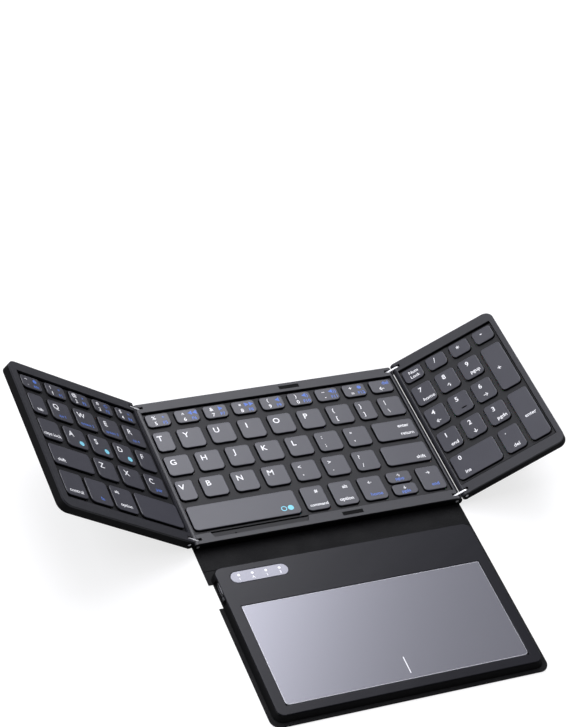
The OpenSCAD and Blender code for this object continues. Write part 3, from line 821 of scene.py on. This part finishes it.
class KEYBOARD_OT_legends(bpy.types.Operator):
    """Print the legends on the key caps"""

    bl_idname = "keyboard.legends"
    bl_label = "Legends"

    def execute(self, context):
        sizes = context.scene.keyboard_sizes
        inks = {ink: FINISHES[ink + "_pad_ink"] for ink in ("white", "blue", "cyan")}
        for node, rows in LEGENDS.items():
            panel = KEYS[node]
            flat = copy_node(node, "flat", TURN[panel])
            tops = cap_tops(flat)
            bpy.data.objects.remove(flat)
            if len(tops) != len(rows):
                raise RuntimeError(f"{node} has {len(tops)} caps and {len(rows)} legends")
            marks = []
            for (x0, y0, x1, y1, z), row in zip(tops, rows):
                for mark in row.split(" "):
                    across, down, size, ink = PLACES[mark[0]]
                    piece = written(mark[1:], size * MM, sizes.legend_depth)
                    piece.data.materials.append(inks[ink])
                    x, y = x0 + across * (x1 - x0), y1 - down * (y1 - y0)
                    piece.data.transform(TURN[panel] @ Matrix.Translation((x, y, z + sizes.ink)))
                    marks.append(piece)
            piece = join(marks, node.replace("_keys", "_legends").replace("_key", "_legends"))
            finish_piece(piece, None, node, angle=30)
        return {"FINISHED"}


class KEYBOARD_OT_homing_bar(bpy.types.Operator):
    """Raise a small black bar on the keypad's middle key"""

    bl_idname = "keyboard.homing_bar"
    bl_label = "Homing bar"

    def execute(self, context):
        sizes = context.scene.keyboard_sizes
        node = "keypad_middle_keys"
        turn = TURN[KEYS[node]]
        flat = copy_node(node, "flat", turn)
        x0, y0, x1, y1, z = cap_tops(flat)[1]
        bpy.data.objects.remove(flat)
        # The bar's middle as shares of the cap's width and depth, and its measures
        across, down = 0.56, 0.76
        width, height, sunk, rounding = 0.8 * MM, 0.5 * MM, 0.02 * MM, 0.2 * MM
        bpy.ops.mesh.primitive_cube_add(size=1)
        bar = new_piece("keypad_homing_bar")
        place = Matrix.Translation((x0 + across * (x1 - x0), y1 - down * (y1 - y0), z - sunk))
        bar.data.transform(Matrix.Diagonal((sizes.bar_length, width, height, 1)))
        round_edges(bar, rounding, 3)
        bar.data.transform(turn @ place)
        finish_piece(bar, FINISHES["black_rubber_paint"], node)
        return {"FINISHED"}


class KEYBOARD_OT_housings(bpy.types.Operator):
    """Round the edges of the shells and frames, and dress the key plates"""

    bl_idname = "keyboard.housings"
    bl_label = "Shells and frames"

    def execute(self, context):
        sizes = context.scene.keyboard_sizes
        for side in ("centre", "left", "right"):
            panel = side if side == "centre" else side + "_wing"
            for part, finish in (("shell", "moulded_ABS_shells"), ("frame", "moulded_ABS_frames")):
                node = f"{side}_{part}"
                piece = copy_node(node, f"{side}_{part}_rounded", TURN[panel])
                if part == "frame":
                    round_level(piece, sizes.frame_edge, 2)
                else:
                    round_level(piece, sizes.shell_edge, up=False)
                piece.data.transform(TURN[panel])
                finish_piece(piece, FINISHES[finish], panel, [node])
                if node == "centre_shell":
                    # The floor of the thumb groove is grey like the key plate that it adjoins
                    piece.data.materials.append(FINISHES["moulded_ABS_key_plates"])
                    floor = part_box("centre_key_plate")[1].z
                    play = 0.1 * MM
                    for face in piece.data.polygons:
                        on_floor = face.normal.z > 0.99 and abs(face.center.z - floor) < play
                        face.material_index = int(on_floor)
            dress_node(f"{side}_key_plate", FINISHES["moulded_ABS_key_plates"])
        return {"FINISHED"}


class KEYBOARD_OT_hinges(bpy.types.Operator):
    """Finish the hinge bars and pins in polished steel"""

    bl_idname = "keyboard.hinges"
    bl_label = "Hinges"

    def execute(self, context):
        sizes = context.scene.keyboard_sizes
        for side in ("left", "right"):
            for part in ("bars", "pins"):
                node = f"{side}_hinge_{part}"
                piece = copy_node(node, f"{side}_hinge_{part}_polished", TURN[side + "_wing"])
                round_edges(piece, sizes.steel_edge, 3)
                piece.data.transform(TURN[side + "_wing"])
                finish_piece(piece, FINISHES["stainless_steel_painted_reflection"], side + "_link", [node])
        return {"FINISHED"}


class KEYBOARD_OT_leather(bpy.types.Operator):
    """Lay the leather: one sheet from the middle panel over the flap, one under the unit"""

    bl_idname = "keyboard.leather"
    bl_label = "Leather cover"

    def execute(self, context):
        sizes = context.scene.keyboard_sizes
        flap_low, flap_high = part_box("leather_flap")
        panel_low, panel_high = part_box("centre_leather")
        pad_low, pad_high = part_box("pad_leather")
        fold_a = (panel_low.y + flap_high.y) / 2
        fold_b = (flap_low.y + pad_high.y) / 2
        seam = fold_b + sizes.seam
        # Half the gap at the seam, half the length of a bend, the cuts on each side of its
        # fold, and how near a sheet's end the points lie that move to the seam
        gap, bend, cuts, end = 0.05 * MM, 1.5 * MM, 6, 0.7 * MM
        sheets = (
            ("panel_leather_sheet", "centre_leather", panel_low.y, seam + gap, fold_a, "centre", "flap"),
            ("pad_leather_sheet", "pad_leather", pad_high.y, seam - gap, fold_b, "flap", "pad"),
        )
        for name, node, old, new, fold, first, second in sheets:
            piece = copy_node(node, name)
            pick_points(piece, lambda p, old=old: abs(p.y - old) < end)
            with editing(piece, "VERT"):
                bpy.ops.transform.resize(value=(1, 0, 1), center_override=(0, old, 0))
                bpy.ops.transform.translate(value=(0, new - old, 0))
                bpy.ops.mesh.select_all(action="SELECT")
                bpy.ops.mesh.remove_doubles(threshold=0.01 * MM)
                bpy.ops.mesh.dissolve_limited(angle_limit=math.radians(1))
            round_level(piece, sizes.leather_edge)
            round_level(piece, sizes.leather_edge, up=False)
            for i in range(-cuts, cuts + 1):
                with editing(piece):
                    bpy.ops.mesh.select_all(action="SELECT")
                    bpy.ops.mesh.bisect(plane_co=(0, fold + i * bend / cuts, 0), plane_no=(0, 1, 0))
            nodes = [node, "leather_flap"] if first == "centre" else [node]
            finish_piece(piece, FINISHES["embossed_PU_leather"], None, nodes)
            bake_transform(piece)
        return {"FINISHED"}


class KEYBOARD_OT_touchpad_unit(bpy.types.Operator):
    """Build the touchpad unit: tray, cover plate, glass and indicator window"""

    bl_idname = "keyboard.touchpad_unit"
    bl_label = "Touchpad unit"

    def execute(self, context):
        sizes = context.scene.keyboard_sizes
        plate, glass = sizes.plate_edge, sizes.glass_edge
        for node, name, finish, body, slot, edge in (
            ("pad_tray", "unit_tray", "moulded_ABS_shells", "pad", "shell", sizes.tray_edge),
            ("pad_cover_plate", "unit_cover", "polished_polycarbonate", "pad", "cover_plate", plate),
            ("touch_glass", "unit_glass", "etched_touch_glass", "touchpad", "touch_glass", glass),
            ("indicator_window", "unit_window", "silvered_acrylic", "pad", "window", sizes.window_edge),
        ):
            piece = copy_node(node, name)
            round_level(piece, edge)
            finish_piece(piece, FINISHES[finish], body, [node])
            if node == "touch_glass":
                # The rounded rim is painted pale: partly its ground edge, partly a painted highlight
                piece.data.materials.append(FINISHES["glass_rim_painted_highlight"])
                level = max(v.co.z for v in piece.data.vertices) - edge
                for face in piece.data.polygons:
                    face.material_index = int(face.normal.z < 0.99 and face.center.z > level)
        self.marks(context)
        return {"FINISHED"}

    def marks(self, context):
        """The click line on the glass, and the lamps and marks of the indicator window."""
        low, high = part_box("touch_glass")
        line_size = Matrix.Diagonal((0.55 * MM, 11 * MM, 0.09 * MM, 1))
        line_middle = Matrix.Translation((2.0 * MM, low.y + 9.2 * MM, high.z - 0.03 * MM))
        line_edge = 0.015 * MM
        bpy.ops.mesh.primitive_cube_add(size=1)
        line = new_piece("click_line")
        line.data.transform(line_middle @ line_size)
        round_edges(line, line_edge, 1)
        finish_piece(line, FINISHES["white_pad_ink"], "touchpad")

        low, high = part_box("indicator_window")
        first, pitch, shift = 4.9 * MM, 8.15 * MM, 0.2 * MM
        lamp_y, letter_y = high.y - 2.7 * MM, high.y - 5.5 * MM
        lamp_radius, lamp_depth, lamp_sunk, lamp_edge = 0.85 * MM, 0.3 * MM, 0.1 * MM, 0.06 * MM
        letter_size, letter_depth, letter_raised = 2.4 * MM, 0.1 * MM, 0.01 * MM
        made = []
        for i, word in enumerate(("1", "A", "2", "3")):
            x = low.x + first + pitch * i
            bpy.ops.mesh.primitive_cylinder_add(vertices=20, radius=lamp_radius, depth=lamp_depth)
            lamp = bpy.context.object
            lamp.data.transform(Matrix.Translation((x + shift, lamp_y, high.z - lamp_sunk)))
            round_edges(lamp, lamp_edge, 2)
            letter = written(word, letter_size, letter_depth)
            letter.data.transform(Matrix.Translation((x, letter_y, high.z + letter_raised)))
            made += [lamp, letter]
        piece = join(made, "indicator_lamps")
        finish_piece(piece, FINISHES["white_pad_ink"], "pad")


class KEYBOARD_OT_inner_parts(bpy.types.Operator):
    """Dress the pieces inside the panels and the unit, the port and the switch"""

    bl_idname = "keyboard.inner_parts"
    bl_label = "Inner parts"

    def execute(self, context):
        for node, finish in {
            "centre_circuit": "polyester_key_circuit",
            "left_circuit": "polyester_key_circuit",
            "right_circuit": "polyester_key_circuit",
            "centre_rubber_domes": "silicone_rubber_domes",
            "left_rubber_domes": "silicone_rubber_domes",
            "right_rubber_domes": "silicone_rubber_domes",
            "centre_screws": "black_oxide_steel",
            "closing_magnets": "black_rubber_paint",
            "touch_sensor": "laminate_touch_sensor",
            "control_board": "laminate_control_board",
            "battery": "aluminium_cell_pouch",
            "usb_port": "plated_port_steel",
            "power_switch": "moulded_ABS_frames",
        }.items():
            dress_node(node, FINISHES[finish])
        return {"FINISHED"}


class KEYBOARD_OT_stage(bpy.types.Operator):
    """Lay the pale floor and hang the soft lamps"""

    bl_idname = "keyboard.stage"
    bl_label = "Floor and lamps"

    def execute(self, context):
        self.floor(context.scene.keyboard_colours.backdrop)
        self.room(context.scene)
        self.lamp()
        context.scene.view_settings.view_transform = "Standard"
        return {"FINISHED"}

    def floor(self, backdrop):
        """A matt floor that glows for the camera alone, so that it looks nearly white."""
        radius, drop, glow_strength = 6, 0.2 * MM, 0.74
        bpy.ops.mesh.primitive_circle_add(
            vertices=96, radius=radius, fill_type="NGON", location=(0, 0, -drop)
        )
        floor = new_piece("floor")
        bpy.ops.object.transform_apply()
        tree, place = new_material("matt_paper_floor")
        seen = add_node(tree, "ShaderNodeLightPath").outputs["Is Camera Ray"]
        glow = add_node(tree, "ShaderNodeMath", {"operation": "MULTIPLY"}, {0: seen, 1: glow_strength})
        tone, _ = mottle(tree, place, backdrop, 0.3, 0.005)
        surface(
            tree,
            {
                "Base Color": tone,
                "Roughness": 0.9,
                "Specular IOR Level": 0.1,
                "Emission Color": (1, 1, 1, 1),
                "Emission Strength": glow.outputs["Value"],
            },
        )
        floor.data.materials.append(FINISHES["matt_paper_floor"])

    def room(self, scene):
        """A grey room whose light comes mostly from one wide softbox over the back."""
        # The softbox: where it hangs, the cosines at which it starts and is full, and its
        # strength. It fades past a line to the right, where the glass mirrors its edge
        box_way, box_start, box_full, box_strength = (0.1, 0.57, 0.816), 0.86, 0.97, 5.6
        fade_way, fade_speed = (-0.841, 0.541, 0), 26
        # The wider, faint light round it, the light from all sides and what the camera sees
        wide_way, wide_start, wide_full, wide_strength = (0, 0.6, 0.8), 0.1, 0.8, 0.5
        dim, seen_strength, tint = 0.07, 1.15, (0.94, 0.945, 1, 1)

        world = bpy.data.worlds.new("soft_grey_room")
        scene.world = world
        world.use_nodes = True
        tree = world.node_tree
        tree.nodes.clear()
        look = add_node(tree, "ShaderNodeTexCoord").outputs["Generated"]

        def light(way, start, full, low, high):
            """The light seen in a direction, from low at its start to high where it is full."""
            facing = add_node(tree, "ShaderNodeVectorMath", {"operation": "DOT_PRODUCT"}, {0: look, 1: way})
            band = add_node(
                tree,
                "ShaderNodeMapRange",
                {"interpolation_type": "SMOOTHSTEP"},
                {
                    "Value": facing.outputs["Value"],
                    "From Min": start,
                    "From Max": full,
                    "To Min": low,
                    "To Max": high,
                },
            )
            return band.outputs["Result"]

        wide = light(wide_way, wide_start, wide_full, dim, dim + wide_strength)
        box = light(box_way, box_start, box_full, 0.0, box_strength)
        past = add_node(
            tree,
            "ShaderNodeVectorMath",
            {"operation": "DOT_PRODUCT"},
            {0: look, 1: [fade_speed * c for c in fade_way]},
        ).outputs["Value"]
        past = add_node(tree, "ShaderNodeMath", {"operation": "MINIMUM"}, {0: past, 1: 0.0}).outputs["Value"]
        fade = add_node(tree, "ShaderNodeMath", {"operation": "EXPONENT"}, {0: past}).outputs["Value"]
        lit = add_node(tree, "ShaderNodeMath", {"operation": "MULTIPLY_ADD"}, {0: box, 1: fade, 2: wide})
        seen = add_node(tree, "ShaderNodeLightPath").outputs["Is Camera Ray"]
        shown = add_node(
            tree,
            "ShaderNodeMix",
            {"data_type": "FLOAT"},
            {"Factor": seen, "A": lit.outputs["Value"], "B": seen_strength},
        )
        back = add_node(
            tree, "ShaderNodeBackground", sockets={"Color": tint, "Strength": shown.outputs["Result"]}
        )
        add_node(tree, "ShaderNodeOutputWorld", sockets={"Surface": back.outputs["Background"]})

    def lamp(self):
        """A weak square lamp high on the left, which gives the soft shadow."""
        place, aim, width, power = (-1.3, 0.0, 1.3), (0, -0.05, 0), 0.8, 12
        bpy.ops.object.light_add(type="AREA", location=place)
        lamp = bpy.context.object
        lamp.name = lamp.data.name = "left_softbox"
        lamp.data.shape = "RECTANGLE"
        lamp.data.size, lamp.data.size_y = width, width
        lamp.data.energy = power
        lamp.data.color = (0.92, 0.93, 1)
        lamp.rotation_euler = (Vector(aim) - Vector(place)).to_track_quat("-Z", "Y").to_euler()


STEPS = (
    KEYBOARD_OT_finishes,
    KEYBOARD_OT_camera,
    KEYBOARD_OT_housings,
    KEYBOARD_OT_key_caps,
    KEYBOARD_OT_legends,
    KEYBOARD_OT_homing_bar,
    KEYBOARD_OT_hinges,
    KEYBOARD_OT_touchpad_unit,
    KEYBOARD_OT_leather,
    KEYBOARD_OT_inner_parts,
    KEYBOARD_OT_stage,
)


class KEYBOARD_PT_panel(bpy.types.Panel):
    bl_label = "Folding Keyboard"
    bl_idname = "KEYBOARD_PT_panel"
    bl_space_type = "VIEW_3D"
    bl_region_type = "UI"
    bl_category = "Keyboard"

    def draw(self, context):
        for group in (context.scene.keyboard_sizes, context.scene.keyboard_colours):
            box = self.layout.box()
            for name in group.__annotations__:
                box.prop(group, name)
        for step in STEPS:
            self.layout.operator(step.bl_idname)


CLASSES = (KeyboardColours, KeyboardSizes, *STEPS, KEYBOARD_PT_panel)


def register():
    for made in CLASSES:
        bpy.utils.register_class(made)
    bpy.types.Scene.keyboard_colours = bpy.props.PointerProperty(type=KeyboardColours)
    bpy.types.Scene.keyboard_sizes = bpy.props.PointerProperty(type=KeyboardSizes)


def unregister():
    del bpy.types.Scene.keyboard_sizes
    del bpy.types.Scene.keyboard_colours
    for made in reversed(CLASSES):
        bpy.utils.unregister_class(made)


def main():
    """Make every piece in order."""
    register()
    for step in STEPS:
        group, name = step.bl_idname.split(".")
        getattr(getattr(bpy.ops, group), name)()


if __name__ == "__main__":
    main()
